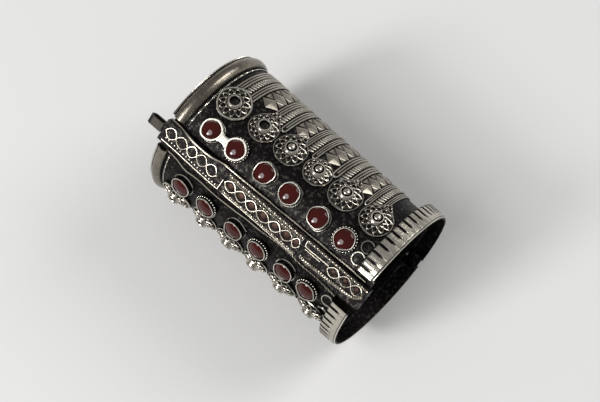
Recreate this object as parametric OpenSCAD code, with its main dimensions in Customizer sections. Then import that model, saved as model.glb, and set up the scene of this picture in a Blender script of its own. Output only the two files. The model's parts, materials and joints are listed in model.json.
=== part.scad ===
// Hinged tubular cuff lying on its side.
// Two half shells of silver with rows of bezel-set cabochons and domed rosettes,
// a barrel hinge along one edge and three box knuckles with a flat pin along the other.
// Each piece is drawn upright, with its axis along Z from the plain rim to the ribbed rim
// and the clasp line at angle 0. lay() turns it onto its side, with the axis along +X.

/* [Tube] */
// Length of the wall, from which the plain rims stand out a little
cuff_l = 101.5; // [90:0.5:115]
// Outside radius of the wall at the plain rim
wide_r = 31.25; // [30:0.05:33]
// Outside radius of the wall at the ribbed rim
narrow_r = 28.75; // [28:0.05:30]
// Thickness of the wall
wall_t = 1.1; // [1.1:0.1:1.5]
// Length of the straight seat inside the narrow end
seat_l = 22; // [15:1:30]
// Angle left free between the facing edges of the halves
edge_gap_a = 0.4; // [0.2:0.1:0.8]
// Height of the tube's axis above the surface that it lies on
rest_h = 33.46; // [30:0.01:36]
// Turn of the clasp line from straight up
clasp_turn = 40; // [35:1:45]

/* [Rims] */
// Distance from the wall's start to the inner edge of the plain rounded rim
plain_rim_w = 5; // [4:0.5:5.5]
// Outside radius of the plain rim
plain_rim_r = 33.4; // [32:0.1:33.4]
// Length that the upper half's plain rim stands out past the wall's start
upper_lip = 2.1; // [1.1:0.1:2.5]
// Length that the lower half's plain rim stands out past the wall's start
lower_lip = 0.8; // [0.2:0.1:2.5]
// Width left for the wire round the mouth of a plain rim
mouth_wire_w = 1; // [0.8:0.1:1.2]
// Width of the ribbed rim
ribbed_rim_w = 7.5; // [7:0.5:8]
// Outside radius of the ribbed rim
ribbed_rim_r = 33.46; // [32:0.01:35]
// Thickness of the ribbed rim's sheet
ribbed_rim_t = 1.3; // [1:0.1:1.6]
// Grooves that a full turn of the ribbed rim would hold
groove_count = 60; // [48:2:72]
// Depth of the grooves
groove_d = 0.5; // [0.3:0.1:0.8]
// Width of the grooves
groove_w = 0.9; // [0.5:0.1:1.2]
// Angle that the rims leave free beside the clasp
rim_start_a = 12.6; // [12.6:0.1:15]
// Angle that the upper half's ribbed rim leaves free beside the clasp
upper_ribbed_start_a = 16.5; // [12.6:0.1:20]

/* [Clasp] */
// Width of a box knuckle
knuckle_w = 9.2; // [8:0.1:9.4]
// Distance of the knuckles' middle from the clasp line, towards the upper half
knuckle_off = 1.1; // [0.5:0.1:1.2]
// Height of a box knuckle's top above the wall
knuckle_h = 3.4; // [3:0.1:4]
// Length of the first knuckle, at the plain rim
knuckle_1_l = 32.6; // [28:0.1:36]
// Length of the middle knuckle
knuckle_2_l = 39.2; // [36:0.1:42]
// Length that the first knuckle stands past the wall's start
knuckle_over = 0.8; // [0.2:0.1:1]
// Length that the last knuckle stands past the ribbed rim
knuckle_end_over = 1.4; // [0.2:0.1:2]
// Free length between neighbouring knuckles
knuckle_gap = 0.3; // [0.2:0.1:0.5]
// Width of the flat pin
pin_w = 3.6; // [3:0.1:4.4]
// Thickness of the flat pin
pin_t = 1.7; // [1.2:0.1:1.9]
// Play around the flat pin
pin_play = 0.1; // [0.05:0.05:0.15]
// Length of the pin's loop
loop_l = 7.2; // [6:0.1:9]
// Height of the pin's loop
loop_h = 4; // [3.6:0.1:4.6]
// Thickness of the strip that the loop is bent from
loop_t = 0.85; // [0.7:0.05:1]

/* [Hinge] */
// Outside radius of a barrel
barrel_r = 2.1; // [1.9:0.1:2.2]
// Height of the hinge's axis above the wall
hinge_h = 2.4; // [2.4:0.1:2.8]
// Radius of the hinge pin
hinge_pin_r = 1; // [0.8:0.1:1.1]
// Play around the hinge pin
hinge_play = 0.05; // [0.03:0.01:0.1]
// Radius of the hinge pin's heads
hinge_head_r = 1.7; // [1.5:0.1:2]
// Thickness of the hinge pin's heads
hinge_head_t = 0.8; // [0.6:0.1:1]

/* [Bands] */
// Height of the raised bands
band_h = 0.45; // [0.3:0.05:0.6]
// Angle from the clasp at which the bands start
band_from = 57; // [54:1:60]
// Angle from the clasp at which the upper half's bands end
upper_band_to = 138; // [130:1:142]
// Angle from the clasp at which the lower half's bands end, before its rear rosettes
lower_band_to = 108; // [100:1:109]

/* [Stones and rosettes] */
// Outside radius of a bezel
bezel_r = 4.6; // [4.4:0.1:4.8]
// Height of a bezel above the wall
bezel_h = 2.5; // [2:0.1:2.6]
// Radius of a cabochon
stone_r = 3.93; // [3.7:0.01:4.05]
// Gap around a cabochon in its bezel
stone_gap = 0.07; // [0.05:0.01:0.15]
// Height of a cabochon's top above the wall
stone_top = 3.45; // [3:0.05:4]
// Height of a cabochon's dome above its girdle
stone_dome = 1.25; // [1:0.05:1.5]
// Height of a rosette's collar above the wall
rosette_top = 3.2; // [2.9:0.1:3.6]
// Outside radius of a rosette's collar
collar_r = 2.5; // [2.2:0.1:2.7]
// Angle of the upper half's front stone row from the clasp
upper_stone_a = 24; // [23:0.5:26]
// Lean of that row, in degrees a millimetre
upper_stone_lean = 0.045; // [0:0.005:0.06]
// Angle of the lower half's front stone row from the clasp
lower_stone_a = 27.3; // [26:0.1:28]
// Lean of that row, in degrees a millimetre
lower_stone_lean = -0.045; // [-0.05:0.005:0]
// Angle of the front rosette rows from the clasp
front_rosette_a = 50; // [49:0.5:52]
// Angle of the rear stone rows from the hinge
rear_stone_a = 25.5; // [25:0.1:27]
// Angle of the lower half's rear rosette row from the hinge
rear_rosette_a = 56.2; // [56:0.1:57]
// Lean of the upper half's rosette row, in degrees a millimetre
rosette_lean = 0.07; // [0:0.01:0.08]

/* [Hidden] */
$fn = 64;
eps = 0.01;

// One row for each place along a row of ornament, which was laid out by eye
PLACE_STONE = 0;       // distance of the stone from the wall's start
PLACE_LOWER_STONE = 1; // the same for the lower half's front row
PLACE_ROSETTE = 2;     // distance of the rosette from the wall's start
PLACE_RADIUS = 3;      // radius of the rosette
PLACES = [
  [15.2, 16.5, 13.9, 7.2],
  [27.6, 29.6, 29.2, 6.4],
  [42.2, 44.4, 43.0, 6.9],
  [54.9, 56.8, 56.7, 6.1],
  [69.4, 70.4, 70.7, 7.0],
  [82.5, 82.0, 86.0, 6.9],
];

// Raised bands around the middle of each half
BAND_START = 0; // distance from the wall's start
BAND_WIDTH = 1;
BANDS = [[8.5, 10], [27, 9.5], [44, 8.5], [60.5, 10], [77.5, 8]];

slope_a = atan((wide_r - narrow_r) / cuff_l);
// The rims end a hair before the wall's edge
rim_end_a = 180 - edge_gap_a / 2 - 0.1;
neck_z = cuff_l - ribbed_rim_w - 0.8;
seat_r = wall_r(neck_z) - wall_t;
groove_a = 360 / groove_count;
loop_z = -cuff_l / 2 - knuckle_over - 0.3;
knuckle_bottom = 0.2;
pin_h = (knuckle_bottom + knuckle_h) / 2;
knuckle_1_end = knuckle_1_l - knuckle_over;
knuckle_2_start = knuckle_1_end + knuckle_gap;
knuckle_2_end = knuckle_2_start + knuckle_2_l;
knuckle_3_start = knuckle_2_end + knuckle_gap;
// The hinge lies between the rims, with the heads of its pin
hinge_start = plain_rim_w + 0.3 + hinge_head_t;
hinge_end = neck_z - 1 - hinge_head_t;
barrel_l = (hinge_end - hinge_start - 2 * knuckle_gap) / 3;
barrel_2_start = hinge_start + barrel_l + knuckle_gap;
barrel_3_start = barrel_2_start + barrel_l + knuckle_gap;
// The whole length runs from the loop's end to the last knuckle's end
mid_x = (cuff_l + knuckle_end_over + (loop_z + cuff_l / 2 - loop_l)) / 2;
// The first rosette stands out furthest on the lower side, and the ribbed rim on the upper
mid_y = (ribbed_rim_r - wall_r(PLACES[0][PLACE_ROSETTE]) - rosette_top - collar_r * sin(slope_a)) / 2;

function wall_r(z) = wide_r - (wide_r - narrow_r) * z / cuff_l;

// Half an ellipse standing on a wall of radius base, w wide, with its crest at radius crest
function moulding(base, crest, w) = [
  for (t = [0:15:180]) [base + (crest - base) * sin(t), w / 2 * (1 - cos(t))]
];

// Outline of a loop bent from strip, seen from the side, shrunk by d
function bend(l, h, d) = concat(
  [[-d, -h / 2 + d], [-d, h / 2 - d]],
  [for (t = [90:15:270]) [-l + h / 2 + (h / 2 - d) * cos(t), (h / 2 - d) * sin(t)]]
);

// Angle of a leaning row at a place along the tube
function row_a(a, z, lean) = a + lean * (z - cuff_l / 2);

// Lays the upright cuff on its side
module lay() {
  translate([-mid_x, -mid_y, rest_h])
    rotate([0, 90, 0])
      rotate([0, 0, 180 + clasp_turn])
        children();
}

// Puts a shape that stands on Z onto the wall, z from the plain rim and a from the clasp
module on_wall(z, a) {
  rotate([0, 0, a])
    translate([wall_r(z), 0, z])
      rotate([0, 90 - slope_a, 0])
        children();
}

// Frame of a line along the wall: X out of the wall, Y round the tube, Z 0 at the plain rim
module on_line(a) {
  rotate([0, 0, a])
    translate([wall_r(cuff_l / 2), 0, cuff_l / 2])
      rotate([0, -slope_a, 0])
        translate([0, 0, -cuff_l / 2])
          children();
}

module turned(from_a, to_a) {
  rotate([0, 0, from_a])
    rotate_extrude(angle = to_a - from_a)
      children();
}

module tube_wall(lip, ribbed_start_a) {
  difference() {
    turned(edge_gap_a / 2, 180 - edge_gap_a / 2)
      polygon([
        [wall_r(-lip) - wall_t, -lip],
        [wall_r(-lip), -lip],
        [narrow_r, cuff_l],
        [seat_r, cuff_l],
        [seat_r, neck_z - seat_l],
      ]);
    // beside the clasp there is no lip
    turned(-1, rim_start_a + 0.4)
      translate([wide_r - 5, -lip - 1])
        square([10, lip + 1]);
    // the wall ends at the neck where the ribbed rim carries on
    turned(ribbed_start_a, 181)
      translate([seat_r - 1, neck_z])
        square([4, cuff_l]);
  }
}

module plain_rim(lip) {
  turned(rim_start_a, rim_end_a)
    translate([0, mouth_wire_w - lip])
      polygon(moulding(wall_r(0) - 0.5, plain_rim_r, plain_rim_w + lip - mouth_wire_w));
}

module ribbed_rim(start_a) {
  r = ribbed_rim_r;
  t = ribbed_rim_t;
  z = neck_z;
  difference() {
    turned(start_a, rim_end_a)
      polygon([
        [seat_r + 0.5, z - 0.7],
        [seat_r + 1.4, z - 0.6],
        [r - 0.8, z + 0.2],
        [r - 0.2, z + 0.6],
        [r, z + 1.3],
        [r, cuff_l - 1],
        [r - 0.3, cuff_l - 0.3],
        [r - 0.7, cuff_l],
        [r - t, cuff_l],
        [r - t, z + 2.6],
        [r - t - 0.7, z + 1.7],
        [seat_r + 0.5, z + 0.9],
      ]);
    for (i = [1:floor((180 - start_a) / groove_a) - 1])
      rotate([0, 0, start_a + i * groove_a - groove_a / 3])
        translate([r - groove_d, -groove_w / 2, z - 2])
          cube([groove_d + 1, groove_w, ribbed_rim_w - 1.2]);
    // what lies outside the hinge's axis is mitred, so that the halves can open
    on_line(180)
      translate([hinge_h - 0.3, 0, z - 2])
        linear_extrude(height = ribbed_rim_w + 4)
          polygon([[0, 1], [0, -0.15], [4, -4.35], [4, 1]]);
  }
}

module bands(to_a) {
  for (b = BANDS) {
    z0 = b[BAND_START];
    z1 = z0 + b[BAND_WIDTH];
    turned(band_from, to_a)
      polygon([
        [wall_r(z0) - 0.4, z0],
        [wall_r(z0) + band_h, z0],
        [wall_r(z1) + band_h, z1],
        [wall_r(z1) - 0.4, z1],
      ]);
  }
}

module bezel() {
  difference() {
    translate([0, 0, -0.65])
      cylinder(r = bezel_r, h = bezel_h + 0.65);
    translate([0, 0, 0.3])
      cylinder(r = stone_r + stone_gap, h = bezel_h);
  }
}

module rosette(r) {
  rotate_extrude()
    polygon([
      [0, -0.9],
      [r, -0.9],
      [r, 0.3],
      [r - 0.9, 1],
      [r - 2.6, 1.7],
      [collar_r, 2.1],
      [collar_r, rosette_top],
      [collar_r - 0.6, rosette_top],
      [collar_r - 0.7, 2.2],
      [1.2, 2.2],
      [1.1, 2.7],
      [0.6, 3],
      [0, 3.05],
    ]);
}

module rosettes(a, lean) {
  for (p = PLACES)
    on_wall(p[PLACE_ROSETTE], row_a(a, p[PLACE_ROSETTE], lean))
      rosette(p[PLACE_RADIUS]);
}

// Bezels of the front stone row and of the rear one of one half
module bezels(stone_place, stone_a, stone_lean) {
  for (p = PLACES) {
    on_wall(p[stone_place], row_a(stone_a, p[stone_place], stone_lean))
      bezel();
    on_wall(p[PLACE_STONE], 180 - rear_stone_a)
      bezel();
  }
}

// A box knuckle from z0 to z1, open along its length for the flat pin, with its middle
// off towards this half's side
module knuckle(z0, z1, off) {
  on_line(0)
    difference() {
      union() {
        translate([knuckle_bottom, off - knuckle_w / 2, z0])
          cube([knuckle_h - knuckle_bottom, knuckle_w, z1 - z0]);
        translate([-0.7, 0.2, z0])
          cube([knuckle_bottom + 1, off + knuckle_w / 2 - 0.4, z1 - z0]);
      }
      translate([pin_h - pin_t / 2 - pin_play, off - pin_w / 2 - pin_play, z0 - 1])
        cube([pin_t + 2 * pin_play, pin_w + 2 * pin_play, z1 - z0 + 2]);
    }
}

// A hinge barrel from z0 with its foot on this half's side
module barrel(z0) {
  on_line(180)
    difference() {
      union() {
        translate([hinge_h, 0, z0])
          cylinder(r = barrel_r, h = barrel_l);
        translate([-0.7, -barrel_r + 0.15, z0])
          cube([hinge_h + 0.7, barrel_r - 0.45, barrel_l]);
      }
      translate([hinge_h, 0, z0 - 1])
        cylinder(r = hinge_pin_r + hinge_play, h = barrel_l + 2);
    }
}

// What both halves share, drawn as the half on the positive side of the clasp line
module half_shell(lip, ribbed_start_a) {
  tube_wall(lip, ribbed_start_a);
  plain_rim(lip);
  ribbed_rim(ribbed_start_a);
}

module upper_half() {
  color("#8f8b82")
    lay()
      mirror([0, 1, 0]) {
        half_shell(upper_lip, upper_ribbed_start_a);
        bands(upper_band_to);
        bezels(PLACE_STONE, upper_stone_a, upper_stone_lean);
        rosettes(front_rosette_a, rosette_lean);
        knuckle(-knuckle_over, knuckle_1_end, knuckle_off);
        knuckle(knuckle_3_start, cuff_l + knuckle_end_over, knuckle_off);
        barrel(barrel_2_start);
      }
}

module lower_half() {
  color("#8f8b82")
    lay() {
      half_shell(lower_lip, rim_start_a);
      bands(lower_band_to);
      bezels(PLACE_LOWER_STONE, lower_stone_a, lower_stone_lean);
      rosettes(front_rosette_a, 0);
      // the cuff lies on the first of these, on a rear bezel and on the ribbed rim
      rosettes(180 - rear_rosette_a, 0);
      knuckle(knuckle_2_start, knuckle_2_end, -knuckle_off);
      barrel(hinge_start);
      barrel(barrel_3_start);
    }
}

module hinge_pin() {
  color("#6d6860")
    lay()
      on_line(180)
        translate([hinge_h, 0, 0]) {
          translate([0, 0, hinge_start - 0.5])
            cylinder(r = hinge_pin_r, h = hinge_end - hinge_start + 1);
          for (z = [hinge_start - 0.1 - hinge_head_t, hinge_end + 0.1])
            translate([0, 0, z])
              cylinder(r = hinge_head_r, h = hinge_head_t);
        }
}

module clasp_pin() {
  color("#5b5046")
    lay()
      on_line(0)
        translate([pin_h, -knuckle_off, cuff_l / 2 + loop_z]) {
          translate([-pin_t / 2, -pin_w / 2, -eps])
            cube([pin_t, pin_w, cuff_l + 2 * knuckle_over - 0.5]);
          rotate([90, -90, 0])
            linear_extrude(height = pin_w, center = true)
              difference() {
                polygon(bend(loop_l, loop_h, 0));
                polygon(bend(loop_l, loop_h, loop_t));
              }
        }
}

module cabochon() {
  ball_r = (stone_r * stone_r + stone_dome * stone_dome) / (2 * stone_dome);
  intersection() {
    translate([0, 0, 0.37])
      cylinder(r = stone_r, h = stone_top);
    translate([0, 0, stone_top - ball_r])
      sphere(r = ball_r);
  }
}

// Cabochons of the four rows, i counting from the plain rim
module upper_front(i) {
  z = PLACES[i][PLACE_STONE];
  color("#5a1610")
    lay()
      on_wall(z, -row_a(upper_stone_a, z, upper_stone_lean))
        cabochon();
}

module upper_rear(i) {
  color("#5a1610")
    lay()
      on_wall(PLACES[i][PLACE_STONE], 180 + rear_stone_a)
        cabochon();
}

module lower_front(i) {
  z = PLACES[i][PLACE_LOWER_STONE];
  color("#5a1610")
    lay()
      on_wall(z, row_a(lower_stone_a, z, lower_stone_lean))
        cabochon();
}

module lower_rear(i) {
  color("#5a1610")
    lay()
      on_wall(PLACES[i][PLACE_STONE], 180 - rear_stone_a)
        cabochon();
}

module stone_a1() { upper_front(0); }
module stone_a2() { upper_front(1); }
module stone_a3() { upper_front(2); }
module stone_a4() { upper_front(3); }
module stone_a5() { upper_front(4); }
module stone_a6() { upper_front(5); }
module stone_b1() { upper_rear(0); }
module stone_b2() { upper_rear(1); }
module stone_b3() { upper_rear(2); }
module stone_b4() { upper_rear(3); }
module stone_b5() { upper_rear(4); }
module stone_b6() { upper_rear(5); }
module stone_c1() { lower_front(0); }
module stone_c2() { lower_front(1); }
module stone_c3() { lower_front(2); }
module stone_c4() { lower_front(3); }
module stone_c5() { lower_front(4); }
module stone_c6() { lower_front(5); }
module stone_d1() { lower_rear(0); }
module stone_d2() { lower_rear(1); }
module stone_d3() { lower_rear(2); }
module stone_d4() { lower_rear(3); }
module stone_d5() { lower_rear(4); }
module stone_d6() { lower_rear(5); }

upper_half();
lower_half();
hinge_pin();
clasp_pin();
stone_a1();
stone_a2();
stone_a3();
stone_a4();
stone_a5();
stone_a6();
stone_b1();
stone_b2();
stone_b3();
stone_b4();
stone_b5();
stone_b6();
stone_c1();
stone_c2();
stone_c3();
stone_c4();
stone_c5();
stone_c6();
stone_d1();
stone_d2();
stone_d3();
stone_d4();
stone_d5();
stone_d6();
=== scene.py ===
import json
import math
import random
from functools import partial

import bpy
import numpy as np
from mathutils import Matrix, Vector


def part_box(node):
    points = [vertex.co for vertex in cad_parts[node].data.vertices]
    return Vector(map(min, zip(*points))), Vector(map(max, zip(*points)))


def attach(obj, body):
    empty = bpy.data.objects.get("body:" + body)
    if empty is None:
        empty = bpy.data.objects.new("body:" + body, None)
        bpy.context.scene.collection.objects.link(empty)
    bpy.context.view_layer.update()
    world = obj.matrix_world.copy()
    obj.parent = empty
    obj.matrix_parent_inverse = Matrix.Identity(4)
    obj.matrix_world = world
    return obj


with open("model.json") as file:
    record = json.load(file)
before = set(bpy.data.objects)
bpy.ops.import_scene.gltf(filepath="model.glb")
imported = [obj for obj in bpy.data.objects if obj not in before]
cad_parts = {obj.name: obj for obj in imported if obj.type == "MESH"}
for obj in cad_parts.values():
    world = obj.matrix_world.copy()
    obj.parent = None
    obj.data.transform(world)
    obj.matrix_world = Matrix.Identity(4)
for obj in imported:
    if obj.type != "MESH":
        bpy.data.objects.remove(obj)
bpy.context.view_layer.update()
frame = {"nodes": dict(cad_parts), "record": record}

# Half shells
# Two halves of heavy silver sheet with soldered bezels, rosettes, knuckles and rims, carried over
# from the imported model. Sulphide has blackened the ground, and handling keeps what stands proud
# bright. The inside is a dull brown.
MM = 0.001
AXIS_Y, AXIS_Z = frame["record"]["mounts"][0]["pos_m"][1:]
CUFF_L = 101.5 * MM
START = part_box("lower_half")[1].x - CUFF_L
WIDE_R = 31.25 * MM
NARROW_R = 28.75 * MM
SLOPE = math.atan((WIDE_R - NARROW_R) / CUFF_L)
CLASP_TURN = math.radians(-40)
SIDES = {"upper": 1, "lower": -1}
KNUCKLE_W = 9.2 * MM
KNUCKLE_OFF = 1.1 * MM
# Grooves of the ribbed rim: where they begin on each half, in degrees from the clasp line, how far
# apart they are and how wide
RIBBED_R = 33.46 * MM
RIBBED_FROM = {"upper": 16.5, "lower": 12.6}
GROOVE_A = 6
GROOVE_LEAD = 2
GROOVE_HALF = 0.62 * MM
# Ranges over which the polish fades: the plain rim's crest along and up, the ribs up and along,
# and the grooves' pointed ends
CREST_END = (4.9 * MM, 5.4 * MM)
CREST_H = (0.5 * MM, 1.3 * MM)
RIB_TOPS = (33.15 * MM, 33.4 * MM)
RIBS_FROM = (92.0 * MM, 93.0 * MM)
GROOVE_TIP = (97.4 * MM, 99.5 * MM)
RIB_RELIEF = 5.0
INSIDE_BROWN = "#3d2f24"
HANDLED_WHITE = "#f4efe2"


def wall_radius(along):
    """Outside radius of the wall at a distance from the plain rim."""
    return WIDE_R + (NARROW_R - WIDE_R) * along / CUFF_L


def turn_of(half, degrees):
    """Turn from straight up, in radians, of a place so many degrees from the clasp line."""
    return CLASP_TURN + SIDES[half] * math.radians(degrees)


def on_circle(along, radius, turn):
    """Place at a distance from the plain rim, on a circle round the tube's axis."""
    return Vector((START + along, AXIS_Y + radius * math.sin(turn), AXIS_Z + radius * math.cos(turn)))


def seat(along, turn, lift=0.0):
    """Place of something that stands on the wall: X along the tube, Z out of the wall."""
    level, tilt = math.cos(SLOPE), math.sin(SLOPE)
    out = Vector((tilt, level * math.sin(turn), level * math.cos(turn)))
    onward = Vector((level, -tilt * math.sin(turn), -tilt * math.cos(turn)))
    place = Matrix((onward, out.cross(onward), out)).transposed().to_4x4()
    place.translation = on_circle(along, wall_radius(along), turn) + out * lift
    return place


def linear(colour):
    """Linear colour of an sRGB hex value."""
    parts = [int(colour[i:i + 2], 16) / 255 for i in (1, 3, 5)]
    return [c / 12.92 if c <= 0.04045 else ((c + 0.055) / 1.055) ** 2.4 for c in parts] + [1]


def add_node(material, kind, inputs=None, **settings):
    """Adds a node. Inputs maps a socket's name or number to a value or to another node's output."""
    made = material.node_tree.nodes.new(kind)
    for name, value in settings.items():
        setattr(made, name, value)
    for name, value in (inputs or {}).items():
        if isinstance(value, bpy.types.NodeSocket):
            material.node_tree.links.new(value, made.inputs[name])
        else:
            made.inputs[name].default_value = value
    return made


def ramp(material, value, low, high, at_low, at_high):
    """Number that runs from at_low to at_high while value runs from low to high."""
    return add_node(material, "ShaderNodeMapRange",
                    {"Value": value, "From Min": low, "From Max": high, "To Min": at_low, "To Max": at_high}
                    ).outputs["Result"]


def combine(material, operation, first, second):
    """Number worked out from two others."""
    return add_node(material, "ShaderNodeMath", {0: first, 1: second}, operation=operation).outputs[0]


def mix(material, factor, first, second):
    """Colour between two, each a hex value or a node's output."""
    colours = [linear(c) if isinstance(c, str) else c for c in (first, second)]
    return add_node(material, "ShaderNodeMix", {"Factor": factor, 6: colours[0], 7: colours[1]},
                    data_type="RGBA").outputs[2]


def blank_material(name):
    """A material with nothing in it, and its Object coordinates."""
    material = bpy.data.materials.new(name)
    material.use_nodes = True
    material.node_tree.nodes.clear()
    coordinates = add_node(material, "ShaderNodeTexCoord").outputs["Object"]
    return material, coordinates


def finish_material(material, shader):
    """Gives a material its shader."""
    output = add_node(material, "ShaderNodeOutputMaterial", {"Surface": shader.outputs[0]})
    output.is_active_output = True
    return material


def silver(name, polished, blackened, crevice, shine=0.24, ground=None, lumps=0.0):
    """Silver that is black in its crevices, as deep as crevice, and polished where it stands proud.
    Ground adds masks of its own for blackened sheet, brown tarnish and brighter places."""
    material, coordinates = blank_material(name)
    fade, join = partial(ramp, material), partial(combine, material)
    closeness = add_node(material, "ShaderNodeAmbientOcclusion", {"Distance": crevice},
                         samples=6, only_local=False).outputs["AO"]
    # Mottling of the sulphide, in patches of 1.6 mm with finer ones in them
    mottle = add_node(material, "ShaderNodeTexNoise",
                      {"Vector": coordinates, "Scale": 620.0, "Detail": 4.0, "Roughness": 0.7}).outputs["Fac"]
    mask = fade(join("ADD", closeness, mottle), 0.92, 1.32, 1.0, 0.0)
    # Broad cloudiness of the polish, about a centimetre across
    cloud = add_node(material, "ShaderNodeTexNoise",
                     {"Vector": coordinates, "Scale": 110.0, "Detail": 3.0}).outputs["Fac"]
    clean = mix(material, cloud, *polished)
    relief = 0.0
    if ground is not None:
        black, brown, handled, relief = ground(material, coordinates, mottle)
        mask = join("MAXIMUM", mask, black)
        clean = mix(material, handled, mix(material, brown, clean, INSIDE_BROWN), HANDLED_WHITE)
    colour = mix(material, mask, clean, mix(material, fade(mottle, 0.4, 0.68, 0.0, 1.0), *blackened))
    rough = fade(mask, 0.0, 1.0, shine, 0.5)
    # Pits and scratches of long wear, drawn at 0.7 mm and finer, which is coarser than they are
    pits = add_node(material, "ShaderNodeTexNoise",
                    {"Vector": coordinates, "Scale": 1500.0, "Detail": 5.0, "Roughness": 0.6}).outputs["Fac"]
    uneven = join("ADD", join("ADD", pits, join("MULTIPLY", mottle, lumps)), relief)
    bump = add_node(material, "ShaderNodeBump", {"Height": uneven, "Strength": 0.4, "Distance": 0.08 * MM})
    shader = add_node(material, "ShaderNodeBsdfPrincipled",
                      {"Base Color": colour, "Metallic": 1.0, "Roughness": rough,
                       "Normal": bump.outputs["Normal"]})
    return finish_material(material, shader)


def sheet_ground(half, material, coordinates, mottle):
    """Masks of the blackened sheet, which is all but the tops of the rims, of the brown inside and
    of the polished ribs, and the height of each rounded rib."""
    fade, vector = partial(ramp, material), partial(add_node, material, "ShaderNodeVectorMath")
    times, minus, larger = (partial(combine, material, name) for name in ("MULTIPLY", "SUBTRACT", "MAXIMUM"))
    centred = vector({0: coordinates, 1: (0.0, AXIS_Y, AXIS_Z)}, operation="SUBTRACT").outputs[0]
    across = vector({0: centred, 1: (0.0, 1.0, 1.0)}, operation="MULTIPLY").outputs[0]
    radius = vector({0: across}, operation="LENGTH").outputs["Value"]
    along = minus(add_node(material, "ShaderNodeSeparateXYZ", {0: coordinates}).outputs["X"], START)
    height = minus(radius, fade(along, 0.0, CUFF_L, WIDE_R, NARROW_R))
    # The crest of the plain rim and the ribs of the ribbed one
    plain_crest = times(fade(along, *CREST_END, 1.0, 0.0), fade(height, *CREST_H, 0.0, 1.0))
    ribs = times(fade(radius, *RIB_TOPS, 0.0, 1.0), fade(along, *RIBS_FROM, 0.0, 1.0))
    # Sulphide fills the grooves of the ribbed rim and runs out of them to a point
    parts = add_node(material, "ShaderNodeSeparateXYZ", {0: centred}).outputs
    turn = combine(material, "ARCTAN2", parts["Y"], parts["Z"])
    first = turn_of(half, RIBBED_FROM[half] + GROOVE_A - GROOVE_LEAD)
    offset = combine(material, "PINGPONG", minus(turn, first), math.radians(GROOVE_A / 2))
    offset = times(offset, RIBBED_R)
    groove_half = fade(along, *GROOVE_TIP, GROOVE_HALF, -0.12 * MM)
    past_groove = fade(minus(offset, groove_half), -0.1 * MM, 0.12 * MM, 0.0, 1.0)
    # Each rib is rounded, by some tenths of a millimetre
    rib_half = math.radians(GROOVE_A / 2) * RIBBED_R
    rounded = combine(material, "POWER", fade(offset, 0.0, rib_half, 0.0, 1.0), 0.5)
    rounded = times(times(rounded, ribs), RIB_RELIEF)
    ribs = times(ribs, past_groove)
    # The knuckles and the hinge are black too: they lie on the plane through their middle
    aside = vector({0: centred, 1: (0.0, math.cos(CLASP_TURN), -math.sin(CLASP_TURN))},
                   operation="DOT_PRODUCT").outputs["Value"]
    aside = combine(material, "ABSOLUTE", minus(aside, KNUCKLE_OFF), 0.0)
    clear = fade(aside, KNUCKLE_W / 2 + 0.1 * MM, KNUCKLE_W / 2 + 0.3 * MM, 0.0, 1.0)
    worn = times(larger(plain_crest, ribs), clear)
    black = times(minus(1.0, worn), fade(mottle, 0.3, 0.5, 0.8, 1.0))
    inside = fade(height, -1.0 * MM, -0.9 * MM, 1.0, 0.0)
    black = times(black, fade(inside, 0.0, 1.0, 1.0, 0.8))
    stain = times(plain_crest, fade(mottle, 0.3, 0.6, 0.3, 0.6))
    # Fingers have polished the ribs a little
    handled = times(ribs, 0.25)
    return black, larger(inside, stain), handled, rounded


# Oxidised sheet: matt black with faint brown clouds, and a warm pale grey on the rims
oxidised_silver = {}
for half in SIDES:
    oxidised_silver[half] = silver(f"oxidised_silver_{half}", ("#bcb6a9", "#8b8579"), ("#0a0b0e", "#211d1d"),
                                   1.6 * MM, ground=partial(sheet_ground, half), lumps=4.0)
    frame["nodes"][f"{half}_half"].data.materials[0] = oxidised_silver[half]

# Pins
# A flat pin of rolled silver with a bent loop closes the clasp, and a round one carries the hinge.
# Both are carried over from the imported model, rubbed dull and browned by the skin.
tarnished_silver = silver("tarnished_silver_pin", ("#37342f", "#282522"), ("#0d0c0b", "#191715"),
                          2.0 * MM, shine=0.42)
for pin in ("clasp_pin", "hinge_pin"):
    frame["nodes"][pin].data.materials[0] = tarnished_silver

# Cabochons
# Low domed carnelians, or red glass in their place, polished, dark red and slightly cloudy.
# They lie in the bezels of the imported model.
STONE_ROWS = {"upper": "ab", "lower": "cd"}
STONES_IN_ROW = 6


def stone_names(half):
    """Names of the stones that a half holds."""
    return [f"stone_{row}{number + 1}" for row in STONE_ROWS[half] for number in range(STONES_IN_ROW)]


# Polished carnelian: glassy, with small hard highlights on a deep red
carnelian, coordinates = blank_material("carnelian")
# Clouds of iron oxide, some 4 mm across
cloud = add_node(carnelian, "ShaderNodeTexNoise",
                 {"Vector": coordinates, "Scale": 240.0, "Detail": 4.0, "Roughness": 0.6}).outputs["Fac"]
shader = add_node(carnelian, "ShaderNodeBsdfPrincipled",
                  {"Base Color": mix(carnelian, cloud, "#1d0200", "#420601"), "Roughness": 0.06, "IOR": 1.4})
finish_material(carnelian, shader)
for half in SIDES:
    for stone in stone_names(half):
        frame["nodes"][stone].data.materials[0] = carnelian

# Bezels
# Each stone is held by a band of silver whose lip is pressed over its edge and worn smooth. A wire,
# or on some a row of beads, is soldered round its foot. Solder has run between the first two lips.
BEZEL_H = 2.5 * MM
LIP_R = 4.22 * MM
LIP_GAUGE = {"upper": 0.62 * MM, "lower": 0.52 * MM}
THICK_LIP_GAUGE = 1.15 * MM
FOOT_R = 4.75 * MM
FOOT_GAUGE = 0.6 * MM
FOOT_LIFT = 0.2 * MM
LIP_DENT = 0.12 * MM
BEADED = ("stone_a2", "stone_a6", "stone_c2", "stone_c4", "stone_c6")
BEADS = 26
BEAD_R = 0.42 * MM
BEAD_RING_R = 4.8 * MM
BEAD_LIFT = 1.6 * MM
# Rear bezels that the cuff lies on are worn down
WORN_ROWS = {"d": 0.8}
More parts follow.
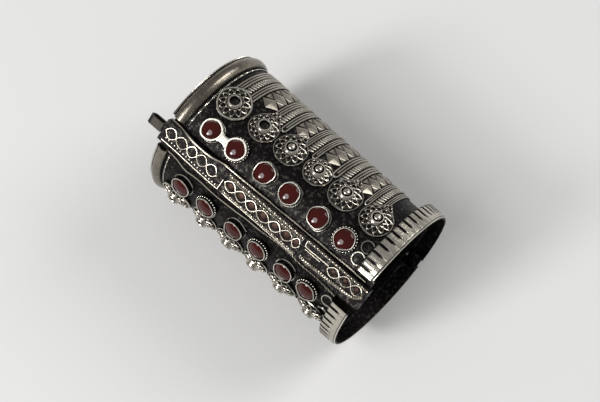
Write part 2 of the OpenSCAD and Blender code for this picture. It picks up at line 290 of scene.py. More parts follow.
# The run of solder: the stones that it joins, its length, width and thickness in millimetres,
# how far its waist is drawn in, and how far under the lips it lies
BRIDGED = ("stone_a1", "stone_a2")
BRIDGE = (4.6, 5.4, 1.3)
BRIDGE_WAIST = 0.6
BRIDGE_SUNK = 0.2 * MM
# Nearly white silver, grey only close beside the stones: rubbed by the sleeve on the bridged lips, and a
# painted highlight on the upper half's rosette collars and thick rim
polish_and_highlight_silver = silver("bright_silver_lips", ("#dfdcd2", "#b3aea2"), ("#1c1b1b", "#2c2925"),
                       0.35 * MM, shine=0.3)
# Drawn wire worn smooth: bright along its top and black at its foot
worn_silver = silver("worn_silver_wire", ("#e6e2d8", "#bfb9ad"), ("#141417", "#26221e"), 0.36 * MM)


def bend_wires(name, paths, gauge, closed=False):
    """Round wires of one gauge, each bent along the points of its path."""
    curve = bpy.data.curves.new(name, "CURVE")
    curve.dimensions = "3D"
    curve.bevel_depth = gauge / 2
    curve.bevel_resolution = 1
    curve.use_fill_caps = not closed
    for path in paths:
        spline = curve.splines.new("POLY")
        spline.points.add(len(path) - 1)
        spline.points.foreach_set("co", [value for point in path for value in (*point, 1.0)])
        spline.use_cyclic_u = closed
    piece = bpy.data.objects.new(name, curve)
    bpy.context.collection.objects.link(piece)
    bpy.ops.object.select_all(action="DESELECT")
    piece.select_set(True)
    bpy.context.view_layer.objects.active = piece
    bpy.ops.object.convert(target="MESH")
    return bpy.context.object


def ring_path(radius, height, steps=40, dent=0.0, seed=0):
    """Points of a ring, pushed in and out by up to dent in each of several waves as a worn one is."""
    chance = random.Random(seed)
    *waves, rise = [chance.uniform(-dent, dent) for _ in range(5)]
    points = []
    for step in range(steps):
        angle = math.tau * step / steps
        out = radius + sum(wave * math.sin((order + 2) * angle + order) for order, wave in enumerate(waves))
        points.append((out * math.cos(angle), out * math.sin(angle), height + rise * math.sin(3 * angle)))
    return points


def grain(radius):
    """A granule of silver, flattened a little where it was melted on."""
    bpy.ops.object.select_all(action="DESELECT")
    bpy.ops.mesh.primitive_ico_sphere_add(subdivisions=2, radius=radius)
    bpy.ops.object.mode_set(mode="EDIT")
    bpy.ops.mesh.select_all(action="SELECT")
    bpy.ops.transform.resize(value=(1, 1, 0.85), center_override=(0, 0, -radius))
    bpy.ops.object.mode_set(mode="OBJECT")
    return bpy.context.object


def repeat(name, unit, places):
    """One piece with a copy of unit at each place. Unit is used up."""
    points = np.array([vertex.co for vertex in unit.data.vertices])
    faces = [tuple(face.vertices) for face in unit.data.polygons]
    all_points, all_faces = [], []
    for place in places:
        grid = np.array(place)
        start = len(points) * len(all_points)
        all_points.append(points @ grid[:3, :3].T + grid[:3, 3])
        all_faces += [tuple(corner + start for corner in face) for face in faces]
    bpy.data.objects.remove(unit)
    mesh = bpy.data.meshes.new(name)
    mesh.from_pydata(np.concatenate(all_points), [], all_faces)
    piece = bpy.data.objects.new(name, mesh)
    bpy.context.collection.objects.link(piece)
    return piece


def solder(name, pieces, body, material, smooth=40):
    """Joins pieces into one that rides on a body, with its material and shading."""
    bpy.ops.object.select_all(action="DESELECT")
    for piece in pieces:
        piece.select_set(True)
    bpy.context.view_layer.objects.active = pieces[0]
    if len(pieces) > 1:
        bpy.ops.object.join()
    joined = bpy.context.object
    joined.name = name
    joined.data.name = name
    bpy.ops.object.shade_smooth_by_angle(angle=math.radians(smooth))
    joined.data.materials.clear()
    joined.data.materials.append(material)
    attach(joined, body)


def stone_seat(stone):
    """Place of a stone's bezel on the wall."""
    low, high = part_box(stone)
    middle = (low + high) / 2
    return seat(middle.x - START, math.atan2(middle.y - AXIS_Y, middle.z - AXIS_Z))


def solder_bridge():
    """A flat run of solder with a narrow waist."""
    bpy.ops.object.select_all(action="DESELECT")
    bpy.ops.mesh.primitive_cube_add(size=MM)
    bridge = bpy.context.object
    bpy.ops.object.mode_set(mode="EDIT")
    bpy.ops.mesh.select_all(action="SELECT")
    bpy.ops.transform.resize(value=BRIDGE)
    bpy.ops.mesh.subdivide(number_cuts=3)
    bpy.ops.mesh.select_all(action="DESELECT")
    bpy.ops.object.mode_set(mode="OBJECT")
    for vertex in bridge.data.vertices:
        vertex.select = abs(vertex.co.x) < 0.3 * BRIDGE[0] * MM
    bpy.ops.object.mode_set(mode="EDIT")
    bpy.ops.mesh.select_mode(type="VERT")
    bpy.ops.transform.resize(value=(1, BRIDGE_WAIST, 0.8), use_proportional_edit=True,
                             proportional_edit_falloff="SMOOTH", proportional_size=1.5 * MM)
    bpy.ops.object.mode_set(mode="OBJECT")
    bridge.modifiers.new("round", "SUBSURF").levels = 1
    bpy.ops.object.modifier_apply(modifier="round")
    return bridge


for half in SIDES:
    wires, thick_lips = [], []
    for number, stone in enumerate(stone_names(half)):
        bridged = stone in BRIDGED
        gauge = THICK_LIP_GAUGE if bridged else LIP_GAUGE[half]
        lip = bend_wires("lip", [ring_path(LIP_R, BEZEL_H, dent=LIP_DENT, seed=number)], gauge, True)
        if stone in BEADED:
            beads = ring_path(BEAD_RING_R, BEAD_LIFT, BEADS)
            foot = repeat("foot", grain(BEAD_R), [Matrix.Translation(point) for point in beads])
        else:
            ring = ring_path(FOOT_R, FOOT_LIFT, dent=LIP_DENT, seed=number)
            foot = bend_wires("foot", [ring], FOOT_GAUGE, True)
        pressed = Matrix.Diagonal((1, 1, WORN_ROWS.get(stone[6], 1), 1))
        for piece in (lip, foot):
            piece.data.transform(stone_seat(stone) @ pressed)
        (thick_lips if bridged else wires).append(lip)
        wires.append(foot)
    if half == "upper":
        first, second = (stone_seat(stone) for stone in BRIDGED)
        bridge = solder_bridge()
        bridge.data.transform(first.lerp(second, 0.5) @ Matrix.Translation((0, 0, BEZEL_H - BRIDGE_SUNK)))
        solder("bridged_lips", thick_lips + [bridge], half, polish_and_highlight_silver)
    solder(f"{half}_bezel_wires", wires, half, worn_silver)

# Rosettes
# Domed discs with a flared sleeve and a collar round a button, and on most a ball on it. Wires bent
# to two rows of pointed petals are soldered round them, with granules between their points, inside
# a plain wire. Most have a pointed pendant towards the bands.
ROSETTE_A = 50
UPPER_LEAN = 0.07
REAR_ROSETTE_A = 180 - 56.2
# Each one's distance along and radius in millimetres, and whether it has a pendant and a ball
ROSETTES = [(13.9, 7.2, False, False), (29.2, 6.4, True, False), (43.0, 6.9, True, True),
            (56.7, 6.1, False, True), (70.7, 7.0, True, True), (86.0, 6.9, True, True)]
# The cuff lies on the rear ones, which are worn down
REAR_WORN = 0.87
COLLAR_R = 2.5 * MM
COLLAR_TOP = 3.2 * MM
COLLAR_GAUGE = 0.66 * MM
SLEEVE_R = (3.35 * MM, 2.5 * MM)
SLEEVE_Z = (1.8 * MM, 3.05 * MM)
SLEEVE_SHEET = 0.25 * MM
BUTTON = (1.95, 1.95, 0.45)
BALL_R = 0.85 * MM
BALL = (1.75, 1.75, 1)
PETALS = 12
PETAL_GAUGE = 0.46 * MM
# How far past the collar the inner petals begin and end and the outer ones begin, and how far
# inside the rim those end
INNER_PETALS = (0.45 * MM, 1.8 * MM)
OUTER_PETALS = (1.7 * MM, 0.7 * MM)
GRAIN_R = 0.42 * MM
INNER_GRAINS = 1.35 * MM
OUTER_GRAINS = 1.25 * MM
RIM_GAUGE = 0.62 * MM
RIM_LIFT = 0.5 * MM
# The rosette nearest the plain rim has a thick rim, on the upper half painted near white as a highlight
BRIGHT_FROM = 7.1 * MM
BRIGHT_RIM_GAUGE = 1.0 * MM
BRIGHT_RIM_LIFT = 0.8 * MM
PENDANT_FLANK = math.radians(40)
PENDANT_REACH = 9.4 * MM
PENDANT_GRAIN = 0.9
PENDANT_ROW = 1.05
# Bent and cast silver: sparkling tops over deep black
dulled_silver = silver("dulled_silver_petals", ("#d6d0c4", "#8f887c"), ("#0c0c0e", "#1d1b19"),
                       0.85 * MM, shine=0.17)


def rosette_height(out, rim):
    """Height of a rosette's dome above the wall at a distance from its middle."""
    return float(np.interp(out, [COLLAR_R, rim - 2.6 * MM, rim - 0.9 * MM, rim],
                           [2.1 * MM, 1.7 * MM, 1.0 * MM, 0.3 * MM]))


def petal_path(inner, outer, rim, shift):
    """Points of a wire that runs round in pointed arches between two radii, one for each petal."""
    points = []
    for step in range(6 * PETALS):
        swing = (1 - abs(step % 6 / 3 - 1)) ** 0.8
        out = inner + (outer - inner) * swing
        angle = math.tau * (step / 6 + shift) / PETALS
        points.append((out * math.cos(angle), out * math.sin(angle),
                       rosette_height(out, rim) + 0.3 * PETAL_GAUGE))
    return points


def collar_sleeve():
    """The flared sleeve of sheet round a collar, with softened edges."""
    bpy.ops.object.select_all(action="DESELECT")
    bpy.ops.mesh.primitive_cone_add(vertices=32, radius1=SLEEVE_R[0], radius2=SLEEVE_R[1],
                                    end_fill_type="NOTHING", depth=SLEEVE_Z[1] - SLEEVE_Z[0],
                                    location=(0, 0, sum(SLEEVE_Z) / 2))
    bpy.ops.object.transform_apply(location=True)
    sleeve = bpy.context.object
    sheet = sleeve.modifiers.new("sheet", "SOLIDIFY")
    sheet.thickness = SLEEVE_SHEET
    edges = sleeve.modifiers.new("edges", "BEVEL")
    edges.width = 0.08 * MM
    edges.segments = 2
    for modifier in ("sheet", "edges"):
        bpy.ops.object.modifier_apply(modifier=modifier)
    return sleeve


def rosette(rim, pendant, ball, side):
    """One rosette: its collar and any thick rim, its petals with the pendant towards side times Y, its
    button.
    """
    bright = rim > BRIGHT_FROM
    rim_wire = rim - 0.25 * MM
    rows = [petal_path(COLLAR_R + INNER_PETALS[0], COLLAR_R + INNER_PETALS[1], rim, 0),
            petal_path(COLLAR_R + OUTER_PETALS[0], rim - OUTER_PETALS[1], rim, 0.5)]
    petals = [bend_wires("petals", rows, PETAL_GAUGE, True)]
    rim_path = ring_path(rim_wire, BRIGHT_RIM_LIFT if bright else RIM_LIFT, 48, LIP_DENT, int(rim / MM * 10))
    around = bend_wires("rim", [rim_path], BRIGHT_RIM_GAUGE if bright else RIM_GAUGE, True)
    petals.append(collar_sleeve())
    wires = [bend_wires("collar", [ring_path(COLLAR_R - 0.13 * MM, COLLAR_TOP, 32)], COLLAR_GAUGE, True)]
    button = repeat("button", grain(MM), [Matrix.Translation((0, 0, COLLAR_TOP - 0.6 * MM))
                                          @ Matrix.Diagonal((*BUTTON, 1))])
    if ball:
        petals.append(repeat("ball", grain(BALL_R), [Matrix.Translation((0, 0, COLLAR_TOP + 0.2 * MM))
                                                     @ Matrix.Diagonal((*BALL, 1))]))
    (wires if bright else petals).append(around)
    spots = []
    for petal in range(PETALS):
        for out, shift in ((rim - OUTER_GRAINS, 0.0), (COLLAR_R + INNER_GRAINS, 0.5)):
            angle = math.tau * (petal + shift) / PETALS
            spots.append(Matrix.Translation((out * math.cos(angle), out * math.sin(angle),
                                             rosette_height(out, rim) + 0.5 * GRAIN_R)))
    if pendant:
        start = Vector((rim_wire * math.cos(PENDANT_FLANK), side * rim_wire * math.sin(PENDANT_FLANK),
                        RIM_LIFT))
        tip = Vector((0, side * PENDANT_REACH, 0.35 * MM))
        mirrored = Vector((-start.x, start.y, start.z))
        petals.append(bend_wires("pendant", [[start, tip, mirrored]], RIM_GAUGE))
        # Granules fill its point in rows of two and three
        for row in range(1, 3):
            for spot in range(-row, row + 1, 2):
                spots.append(Matrix.Translation((spot * PENDANT_GRAIN * MM,
                                                 side * (PENDANT_REACH - row * PENDANT_ROW * MM), 0.45 * MM)))
    petals.append(repeat("granules", grain(GRAIN_R), spots))
    return wires, petals, [button]


for half, side in SIDES.items():
    wires, petals, buttons = [], [], []
    for along, rim, pendant, ball in ROSETTES:
        lean = UPPER_LEAN * (along - CUFF_L / MM / 2) if half == "upper" else 0
        places = [(ROSETTE_A + lean, side, 1)]
        if half == "lower":
            places.append((REAR_ROSETTE_A, -side, REAR_WORN))
        for degrees, towards, height in places:
            place = seat(along * MM, turn_of(half, degrees)) @ Matrix.Diagonal((1, 1, height, 1))
            made = rosette(rim * MM, pendant, ball, towards)
            for group, pieces in zip((wires, petals, buttons), made):
                for piece in pieces:
                    piece.data.transform(place)
                group += pieces
    # The upper half's collars and thick rim take the near white silver as a painted highlight, and the lower
    # half's take the petals' duller silver as painted shade
    solder(f"{half}_rosette_wires", wires, half, polish_and_highlight_silver if half == "upper" else dulled_silver)
    solder(f"{half}_rosette_buttons", buttons, half, tarnished_silver)
    solder(f"{half}_rosette_petals", petals, half, dulled_silver)

# Knuckle wires
# On the flat top of each knuckle two wires cross and part again as a chain of eyes, over low brown
# domes on the last two. Beside them run plain wires, wires twisted of two strands, and a row of
# granules on the first knuckle.
KNUCKLE_H = 3.4 * MM
EYE_GAUGE = 0.38 * MM
# Places are in millimetres along from the plain rim, aside from the clasp line and out of the wall
TOP = KNUCKLE_H / MM
HIGH = TOP + 0.25
EYE_LIFT = 0.15
EYE_HALF = {"first": 2.3, "middle": 2.1, "last": 2.05}
EYES = {
    "first": [(0.9, 2.0), (6.4, 1.9), (12.2, 1.7), (17.3, 1.9), (22.6, 1.6), (28.2, 1.1)],
    "middle": [(32.5, 1.4), (38.2, 1.0), (43.7, 0.8), (49.3, 0.8), (55.8, 0.5), (61.5, 0.8), (67.3, 1.3),
               (71.0, 1.4)],
    "last": [(84.7, 2.0), (90.4, 2.3), (95.9, 2.6), (101.4, 2.8)],
}
# Each twisted wire's points, strand and pitch, and each plain wire's points and gauge
TWISTED = {
    "first": [],
    "middle": [([(32.9, 4.9, HIGH), (51.5, 4.9, HIGH), (70.9, 5.0, HIGH)], 0.55, 1.9),
               ([(33.2, 3.95, TOP), (51.5, 3.55, TOP), (70.9, 3.9, TOP)], 0.4, 1.7),
               ([(33.6, -2.3, TOP), (51.5, -2.5, TOP), (70.9, -2.4, TOP)], 0.55, 1.9)],
    "last": [([(73.2, -1.6, HIGH), (76, -1.8, HIGH), (82, -1.6, HIGH), (92, -1.1, HIGH),
               (98, -0.5, HIGH), (100.4, 0.6, HIGH), (101.9, 2.5, HIGH)], 0.75, 2.1),
             ([(73, 5.3, TOP), (91, 5.3, TOP), (102.4, 5.2, TOP)], 0.45, 1.7)],
}
PLAIN = {
    "first": [([(1, -2.5, TOP), (8, -2.6, TOP), (15.5, -2.9, TOP)], 0.5),
              ([(15.5, -2.9, TOP), (24, -3.2, TOP), (31.2, -3.2, TOP)], 0.4),
              ([(31.4, 1.5, TOP), (31.3, -1, TOP), (31.2, -3.2, TOP)], 0.5)],
    "middle": [([(34, -3.2, TOP), (38, -3.2, TOP), (42.5, -3.1, TOP)], 0.6),
               ([(42.5, -3.1, TOP), (56, -3.2, TOP), (70.9, -3.2, TOP)], 0.35)],
    "last": [([(72.6, 5.4, TOP), (72.6, 4, TOP), (72.9, 2.9, TOP), (78, 2.9, TOP), (84.5, 3.0, TOP)], 0.5),
             ([(73.4, 1.9, TOP), (77, 1.9, TOP), (81, 1.9, TOP)], 0.35)],
}
# The wound strands bulge past their own gauge
STRAND_FULL = 1.1
TWIST_STEP = 0.2
PLAIN_STEP = 1.5
# Both ends of the row, and how many granules it has
GRANULE_ROW = ((2.5, -0.8), (29.5, -2.3), 18)
ROW_GRAIN_R = 0.47 * MM
ROW_LIFT = 0.15 * MM
# Radius in millimetres, flatness and body of each row of domes, and their length by their width
DOMES = {"middle": (1.6, 0.118, "lower"), "last": (1.2, 0.186, "upper")}
DOME_LENGTH = 1.15
DOME_SUNK = 0.02 * MM
# Twisted wire: light and dark from turn to turn
rope_silver = silver("rope_silver_wire", ("#d2cabb", "#9f9789"), ("#100f0e", "#1c1917"),
                     0.55 * MM, shine=0.25)
# Wire scratched by wear: softer, and a little yellow
scratched_silver = silver("scratched_silver_eyes", ("#cbc3b4", "#989082"), ("#100f0e", "#1c1917"),
                          0.4 * MM, shine=0.31)
# Silver browned under the eyes: a dark red-brown with little gloss
browned_silver = silver("browned_silver_domes", ("#382a25", "#231a17"), ("#12100e", "#1d1815"),
                        0.9 * MM, shine=0.4)


def through(points, step):
    """Points a step apart on a smooth curve through the points given."""
    knots = np.array([points[0], *points, points[-1]], float)
    path = []
    for p0, p1, p2, p3 in zip(knots, knots[1:], knots[2:], knots[3:]):
        pieces = max(1, round(float(np.linalg.norm(p2 - p1)) / step))
        for t in np.arange(pieces) / pieces:
            path.append((2 * p1 + (p2 - p0) * t + (2 * p0 - 5 * p1 + 4 * p2 - p3) * t ** 2
                         + (3 * p1 - p0 - 3 * p2 + p3) * t ** 3) / 2)
    return np.array([*path, knots[-1]])


def twist(path, out, gauge, pitch):
    """Paths of two strands wound round a path, whose surface looks along out."""
    steps = np.gradient(path, axis=0)
    lengths = np.linalg.norm(steps, axis=1)
    onward = steps / lengths[:, None]
    aside = np.cross(out, onward)
    turn = math.tau * np.cumsum(lengths)[:, None] / pitch
    return [path + gauge / 2 * (np.cos(turn + phase) * aside + np.sin(turn + phase) * out)
            for phase in (0, math.pi)]


def chain_of_eyes(crossings, half_height, lift):
    """Paths of two wires that meet at the crossings, one of them on top."""
    paths = [[], []]
    for number, ((x0, y0), (x1, y1)) in enumerate(zip(crossings, crossings[1:])):
        for t in np.linspace(0, 1, 12, endpoint=False):
            swing = half_height * math.sin(math.pi * t) ** 0.8 * (1 if number % 2 else -1)
            over = 0.55 * EYE_GAUGE / MM * abs(math.cos(math.pi * t)) ** 4
            paths[0].append((x0 + (x1 - x0) * t, y0 + (y1 - y0) * t + swing, lift))
            paths[1].append((x0 + (x1 - x0) * t, y0 + (y1 - y0) * t - swing, lift + over))
    for path in paths:
        path.append((*crossings[-1], lift))
    return [np.array(path) * MM for path in paths]


UP = np.array((0.0, 0.0, 1.0))
knuckle_frame = seat(0.0, CLASP_TURN)
for knuckle, body in (("first", "upper"), ("middle", "lower"), ("last", "upper")):
    eyes = bend_wires("eyes", chain_of_eyes(EYES[knuckle], EYE_HALF[knuckle], TOP + EYE_LIFT), EYE_GAUGE)
    wires, ropes, granules = [eyes], [], []
    for points, gauge, pitch in TWISTED[knuckle]:
        strands = twist(through(points, TWIST_STEP), UP, gauge, pitch)
        ropes.append(bend_wires("twist", [strand * MM for strand in strands], gauge * STRAND_FULL * MM))
    for points, gauge in PLAIN[knuckle]:
        wires.append(bend_wires("plain", [through(points, PLAIN_STEP) * MM], gauge * MM))
    if knuckle == "first":
        (x0, y0), (x1, y1), count = GRANULE_ROW
        spots = [Matrix.Translation(((x0 + (x1 - x0) * t) * MM, (y0 + (y1 - y0) * t) * MM,
                                     KNUCKLE_H + ROW_LIFT)) for t in np.linspace(0, 1, count)]
        granules.append(repeat("granules", grain(ROW_GRAIN_R), spots))
    for piece in granules + wires + ropes:
        piece.data.transform(knuckle_frame)
    if granules:
        solder(f"{knuckle}_knuckle_wires", granules, body, worn_silver)
    if ropes:
        solder(f"{knuckle}_knuckle_ropes", ropes, body, rope_silver)
    solder(f"{knuckle}_knuckle_eyes", wires, body, scratched_silver)
for knuckle, (radius, flatness, body) in DOMES.items():
    spots = [knuckle_frame
             @ Matrix.Translation(((x0 + x1) / 2 * MM, (y0 + y1) / 2 * MM, KNUCKLE_H - DOME_SUNK))
             @ Matrix.Diagonal((DOME_LENGTH, 1, flatness, 1))
             for (x0, y0), (x1, y1) in zip(EYES[knuckle], EYES[knuckle][1:])]
    solder(f"{knuckle}_knuckle_domes", [repeat("domes", grain(radius * MM), spots)], body, browned_silver)

# Border wires
# A long wire is soldered on each side of the clasp. The upper one climbs onto the first knuckle,
# and the lower one lies on the wall and is twisted over its second half.
BORDER_GAUGE = 0.75
UPPER_BORDER = [(0, 6.0, 1.4), (5, 6.0, 2.0), (9, 5.9, 3.1), (13, 5.45, 3.5), (18, 5.3, 3.5),
                (22.5, 5.5, 3.5), (26, 6.0, 2.8), (28, 6.1, 2.2), (37, 6.1, 1.9), (46, 6.1, 1.4),
                (52, 6.1, 1.0), (62, 6.15, 0.7), (69, 6.2, 0.4), (82, 6.3, 0.3), (90, 6.5, 0.3),
                (99, 6.4, 0.3)]
LOWER_BORDER = [(4, -6.3, 0.3), (9, -6.6, 0.3), (15, -8.1, 0.3), (21, -7.5, 0.3), (31, -7.8, 0.3),
                (41, -7.2, 0.3), (47, -6.6, 0.3), (54, -6.4, 0.3)]
LOWER_TWIST = [(54, -6.4, 0.3), (61, -5.5, 0.3), (67, -5.3, 0.3), (75, -6.0, 0.3), (81, -5.9, 0.3),
               (88, -6.3, 0.3), (93.5, -7.0, 0.3)]
LOWER_STRAND = 0.45
LOWER_PITCH = 1.9
border = bend_wires("border", [through(UPPER_BORDER, PLAIN_STEP) * MM], BORDER_GAUGE * MM)
border.data.transform(knuckle_frame)
solder("upper_border_wire", [border], "upper", rope_silver)


def on_wall(points):
    """Places on the wall of points given as distance along, distance aside and height, in metres."""
    return np.array([seat(along, CLASP_TURN + aside / wall_radius(along), lift).translation
                     for along, aside, lift in points])


strands = twist(through(LOWER_TWIST, TWIST_STEP), UP, LOWER_STRAND, LOWER_PITCH)
wires = [bend_wires("border", [on_wall(through(LOWER_BORDER, PLAIN_STEP) * MM)], BORDER_GAUGE * MM),
         bend_wires("twist", [on_wall(strand * MM) for strand in strands], 0.5 * MM)]
solder("lower_border_wire", wires, "lower", rope_silver)

# Bands
# Strips across the halves, each with two groups of three ridges that turn back beside the rosettes
# and a row of slanted leaves between them, soldered on and rubbed to a tan grey.
BAND_H = 0.45
# Where each band begins and how wide it is, in millimetres
BANDS = [(8.5, 10.0), (27.0, 9.5), (44.0, 8.5), (60.5, 10.0), (77.5, 8.0)]
# Where their ridges and leaves begin and end, in degrees from the clasp line
BAND_FROM = 57
CENTRE_RIDGE_FROM = BAND_FROM + 4
LEAVES_FROM = BAND_FROM + 3
BAND_TO = {"upper": 138, "lower": 108}
RIDGE_FULL = 0.68
LEAF_L = 3.1
LEAF_W = 1.15
LEAF_H = 0.9
LEAF_GAP = 0.15
LEAF_PITCH = 1.6
LEAF_SLANT = math.radians(24)
LEAF_EDGE = 0.2 * MM
MEAN_R = (WIDE_R + NARROW_R) / 2
# Silver rubbed all over by the sleeve: an even tan grey with soft highlights
rubbed_silver = silver("rubbed_silver_bands", ("#cac5ba", "#a19b8f"), ("#131212", "#26221e"),
                       0.6 * MM, shine=0.34)


def round_wall(half, along, from_a, to_a, lift, step=3.0):
    """Points of a wire that runs round a half at one distance along it."""
    turns = np.linspace(from_a, to_a, max(2, round(abs(to_a - from_a) / step) + 1))
    return [seat(along * MM, turn_of(half, turn), lift * MM).translation for turn in turns]


def hairpin(half, near, far, lift):
    """Points of a wire that runs along near, turns back beside the rosettes and returns along far."""
    reach = (far - near) / 2
    bend_a = math.degrees(abs(reach) * MM / MEAN_R)
    start, end = BAND_FROM + bend_a, BAND_TO[half]
    bend = [seat((near + far) / 2 * MM - reach * MM * math.cos(angle),
                 turn_of(half, start - bend_a * math.sin(angle)),
                 lift * MM).translation for angle in np.linspace(0, math.pi, 9)[1:-1]]
    return round_wall(half, near, end, start, lift) + bend + round_wall(half, far, start, end, lift)


def leaf():
    """A long low leaf with bevelled edges."""
    bpy.ops.object.select_all(action="DESELECT")
    bpy.ops.mesh.primitive_cylinder_add(vertices=8, radius=0.5, depth=1)
    bpy.ops.object.mode_set(mode="EDIT")
    bpy.ops.mesh.select_all(action="SELECT")
    bpy.ops.transform.resize(value=(LEAF_L * MM, LEAF_W * MM, LEAF_H * MM))
    bpy.ops.mesh.bevel(offset=LEAF_EDGE, segments=2, affect="EDGES")
    bpy.ops.object.mode_set(mode="OBJECT")
    return bpy.context.object


for half in SIDES:
    bands, places = [], []
    for start, width in BANDS:
        middle = start + width / 2
        pitch = (width - LEAF_L - 2 * LEAF_GAP) / 6
        ridges = []
        for side in (-1, 1):
            near, centre, far = (middle + side * (LEAF_L / 2 + LEAF_GAP + pitch * (row + 0.5))
                                 for row in range(3))
            ridges.append(hairpin(half, near, far, BAND_H))
            ridges.append(round_wall(half, centre, CENTRE_RIDGE_FROM, BAND_TO[half], BAND_H))
        bands.append(bend_wires("ridges", ridges, RIDGE_FULL * pitch * MM))
        step = math.degrees(LEAF_PITCH * MM / wall_radius(middle * MM))
        for number in range(int((BAND_TO[half] - LEAVES_FROM) / step)):
            place = seat(middle * MM, turn_of(half, LEAVES_FROM + number * step), BAND_H * MM)
            places.append(place @ Matrix.Rotation(SIDES[half] * LEAF_SLANT, 4, "Z"))
    bands.append(repeat("leaves", leaf(), places))
    solder(f"{half}_band_ridges", bands, half, rubbed_silver)

# Diamonds
# Between the bands low diamonds of four facets, stamped from sheet and soldered on, stand tip to
# tip round each half, with an outlined triangle in every corner that they leave.
DIAMOND_A = 12
DIAMONDS = {"upper": 6, "lower": 3}
DIAMOND_FROM = 69
DIAMOND_OVERLAP = 1.02
# Where each strip between two bands begins and ends, in millimetres
STRIPS = [(18.5, 27.0), (36.5, 44.0), (52.5, 60.5), (70.5, 77.5)]
# Parts of the strip's width and of a diamond's half that a triangle takes, and how far aside it is
CORNER_SIZE = (0.24, 0.62)
CORNER_OFF = 0.31
# Stamped sheet that is seldom touched: darker than the bands and as soft
dim_silver = silver("dim_silver_diamonds", ("#aba498", "#807a6f"), ("#111110", "#221f1b"),
                    0.7 * MM, shine=0.34)


def corner_plate(sides, depth, inset, rise):
    """A low plate with so many corners, whose top is set in and raised."""
    bpy.ops.object.select_all(action="DESELECT")
    bpy.ops.mesh.primitive_cylinder_add(vertices=sides, radius=1, depth=depth)
    plate = bpy.context.object
    top = [face.center.z > 0.4 * depth for face in plate.data.polygons]
    plate.data.polygons.foreach_set("select", top)
    plate.data.edges.foreach_set("select", [False] * len(plate.data.edges))
    plate.data.vertices.foreach_set("select", [False] * len(plate.data.vertices))
    bpy.ops.object.mode_set(mode="EDIT")
    bpy.ops.mesh.inset(thickness=inset, depth=rise)
    bpy.ops.object.mode_set(mode="OBJECT")
    return plate


for half in SIDES:
    diamonds, corners = [], []
    for start, end in STRIPS:
        middle = (start + end) / 2
        reach = math.radians(DIAMOND_A) * wall_radius(middle * MM) / 2
        diamond_size = Matrix.Diagonal(((end - start) / 2 * MM, reach * DIAMOND_OVERLAP, MM, 1))
        corner_size = Matrix.Diagonal(((end - start) * CORNER_SIZE[0] * MM, reach * CORNER_SIZE[1], MM, 1))
        for number in range(DIAMONDS[half]):
            turn = DIAMOND_FROM + number * DIAMOND_A
            diamonds.append(seat(middle * MM, turn_of(half, turn)) @ diamond_size)
            if number:
                for side in (-1, 1):
                    place = seat((middle + side * (end - start) * CORNER_OFF) * MM,
                                 turn_of(half, turn - DIAMOND_A / 2))
                    corners.append(place @ Matrix.Rotation(math.pi if side > 0 else 0, 4, "Z") @ corner_size
                                   @ Matrix.Rotation(-math.pi / 2, 4, "Z"))
    plates = [repeat("diamonds", corner_plate(4, depth=0.4, inset=0.66, rise=0.75), diamonds),
              repeat("corners", corner_plate(3, depth=0.7, inset=0.25, rise=-0.25), corners)]
    solder(f"{half}_diamonds", plates, half, dim_silver, smooth=20)

# Rim wires
# A twisted wire lies in the mouth of each plain rim and a finer one behind its rounded moulding.
# Thin ridges stand in the grooves of the ribbed rim, a wire runs round its edge, and two rings of
# wire lie beside it.
RIM_PITCH = 1.6 * MM
# Each twisted wire's place along, lift and strand, in millimetres
TWISTED_RIM = {"upper": [(-1.6, 0.42, 0.42), (6.1, 0.2, 0.32)],
               "lower": [(-0.3, 0.42, 0.42), (6.1, 0.2, 0.32)]}
# Where they begin and end and how far apart their points are, in degrees
TWISTED_FROM_A = 14
TWISTED_TO_A = {"upper": 176.5, "lower": 178.5}
TWISTED_STEP_A = 0.45
EDGE_AT = 101.35 * MM
EDGE_R = 33.0 * MM
EDGE_LEAD = 1
EDGE_TO_A = 172
EDGE_STEP_A = 3
EDGE_GAUGE = 0.5 * MM
RIDGES = 26
RIDGE_LINE = (93.9, 98.9)
RIDGE_SHIFT = 1.3
RIDGE_GAUGE = 0.42 * MM
# The cuff lies on the ridges whose turn has a cosine under this, and they are worn away
WORN_BELOW = -0.992
RING_R = 2.5 * MM
RING_LIFT = 0.5 * MM
RING_GAUGE = 0.7 * MM
RINGS_AT = 91 * MM
RINGS = {"upper": (32.5, 21.5), "lower": (22, 38)}


def outward(path):
    """Directions away from the tube's axis at the points of a path."""
    flat = path * (0, 1, 1) - (0, AXIS_Y, AXIS_Z)
    return flat / np.linalg.norm(flat, axis=1)[:, None]


for half in SIDES:
    wires = []
    for along, lift, gauge in TWISTED_RIM[half]:
        path = np.array(round_wall(half, along, TWISTED_FROM_A, TWISTED_TO_A[half], lift, TWISTED_STEP_A))
        strands = twist(path, outward(path), gauge * MM, RIM_PITCH)
        wires.append(bend_wires("twist", strands, gauge * STRAND_FULL * MM))
    edge = [on_circle(EDGE_AT, EDGE_R, turn_of(half, turn))
            for turn in np.arange(RIBBED_FROM[half] + EDGE_LEAD, EDGE_TO_A, EDGE_STEP_A)]
    wires.append(bend_wires("edge", [edge], EDGE_GAUGE))
    ridges = []
    for number in range(1, RIDGES + 1):
        turn = turn_of(half, RIBBED_FROM[half] + GROOVE_A * number - GROOVE_LEAD + RIDGE_SHIFT)
        if math.cos(turn) > WORN_BELOW:
            ridges.append([on_circle(along * MM, RIBBED_R, turn) for along in RIDGE_LINE])
    wires.append(bend_wires("ridges", ridges, RIDGE_GAUGE))
    solder(f"{half}_rim_wires", wires, half, worn_silver)
    rings = []
    for turn in RINGS[half]:
        ring = bend_wires("ring", [ring_path(RING_R, RING_LIFT, 28)], RING_GAUGE, True)
        ring.data.transform(seat(RINGS_AT, turn_of(half, turn)))
        rings.append(ring)
    solder(f"{half}_ring_pair", rings, half, dulled_silver)

# Hinge lap
# A short tongue of sheet on the lower half reaches behind the hinge joint of the ribbed rim and
# closes it from inside. It stays clear of the upper half as that swings out.
LAP_EDGE = 0.15 * MM
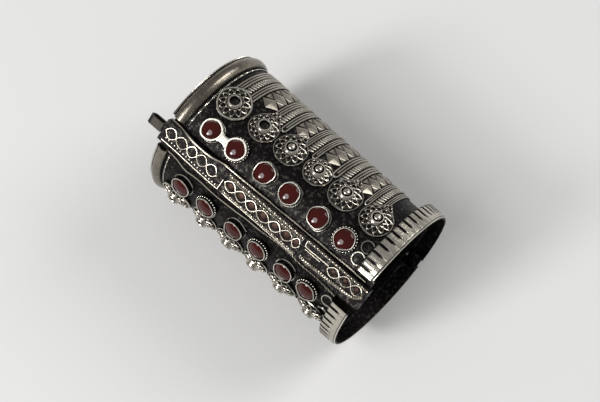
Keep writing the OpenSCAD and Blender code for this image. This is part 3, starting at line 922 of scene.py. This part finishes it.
# In millimetres, along, from the tube's axis, and aside from the hinge line
LAP_X = (95.0, 101.2)
LAP_INNER = 30.5
LAP_OUTER = 31.1
LAP_FOOT = 32.3
LAP_FOOT_FROM = 1.5
LAP_REACH = 3.6


def lap_block(across, low, high):
    """A block of sheet inside the rim, across being its distances from the hinge line."""
    bpy.ops.object.select_all(action="DESELECT")
    bpy.ops.mesh.primitive_cube_add(size=MM)
    bpy.ops.object.mode_set(mode="EDIT")
    bpy.ops.mesh.select_all(action="SELECT")
    bpy.ops.transform.resize(value=(LAP_X[1] - LAP_X[0], across[1] - across[0], high - low))
    bpy.ops.mesh.bevel(offset=LAP_EDGE, segments=2, affect="EDGES")
    bpy.ops.object.mode_set(mode="OBJECT")
    block = bpy.context.object
    turned = Matrix.Rotation(-(CLASP_TURN + math.pi), 4, "X")
    middle = (sum(LAP_X) / 2 * MM, sum(across) / 2 * MM, (low + high) / 2 * MM)
    block.data.transform(Matrix.Translation((START, AXIS_Y, AXIS_Z)) @ turned @ Matrix.Translation(middle))
    return block


solder("hinge_lap", [lap_block((-LAP_REACH, LAP_REACH), LAP_INNER, LAP_OUTER),
                     lap_block((LAP_FOOT_FROM, LAP_REACH), LAP_INNER, LAP_FOOT)],
       "lower", oxidised_silver["lower"])

# Floor, light and camera
# A plain floor of pale paper. One large soft light and a smaller one for the glints stand to the
# lower left of the picture and a weak one opposite, with the camera above the cuff at the photo's
# angle.
LIT_AT = Vector((0, 0, 0.03))
CAMERA_AT = Vector((0.1360, -0.14025, 0.5513))
CAMERA_AIM = Vector((0.00485, 0.00078, 0.03341))
FIELD_OF_VIEW = math.radians(24.718)
SENSOR_W = 36
bpy.ops.mesh.primitive_plane_add(size=6, location=(0, 0, 0))
floor = bpy.context.object
floor.name = "floor"
# Matt paper: no gloss, with fibres of 1.1 mm that are coarser than real ones
paper, coordinates = blank_material("pale_paper")
fibres = add_node(paper, "ShaderNodeTexNoise", {"Vector": coordinates, "Scale": 900.0, "Detail": 3.0})
tone = mix(paper, fibres.outputs["Fac"], "#cacac9", "#cecdcc")
shader = add_node(paper, "ShaderNodeBsdfPrincipled", {"Base Color": tone, "Roughness": 0.9})
floor.data.materials.append(finish_material(paper, shader))


def add_light(name, place, size, power):
    """A round soft light that looks at the cuff."""
    bpy.ops.object.light_add(type="AREA", location=place)
    light = bpy.context.object
    light.name = name
    light.data.shape = "DISK"
    light.data.size = size
    light.data.energy = power
    light.rotation_euler = (LIT_AT - Vector(place)).to_track_quat("-Z", "Y").to_euler()


add_light("key_light", (-0.30, -1.10, 1.38), 1.0, 19)
add_light("glint_light", (-0.50, -1.36, 0.98), 0.44, 14)
add_light("fill_light", (0.5, 1.2, 1.05), 1.0, 13)
world = bpy.data.worlds.new("studio")
world.use_nodes = True
world.node_tree.nodes["Background"].inputs["Color"].default_value = (0.34, 0.341, 0.343, 1)
world.node_tree.nodes["Background"].inputs["Strength"].default_value = 1.0
bpy.context.scene.world = world
bpy.context.scene.view_settings.view_transform = "Standard"
bpy.ops.object.camera_add(location=CAMERA_AT)
camera = bpy.context.object
camera.rotation_euler = (CAMERA_AIM - CAMERA_AT).to_track_quat("-Z", "Y").to_euler()
camera.data.sensor_width = SENSOR_W
camera.data.lens = SENSOR_W / 2 / math.tan(FIELD_OF_VIEW / 2)
bpy.context.scene.camera = camera
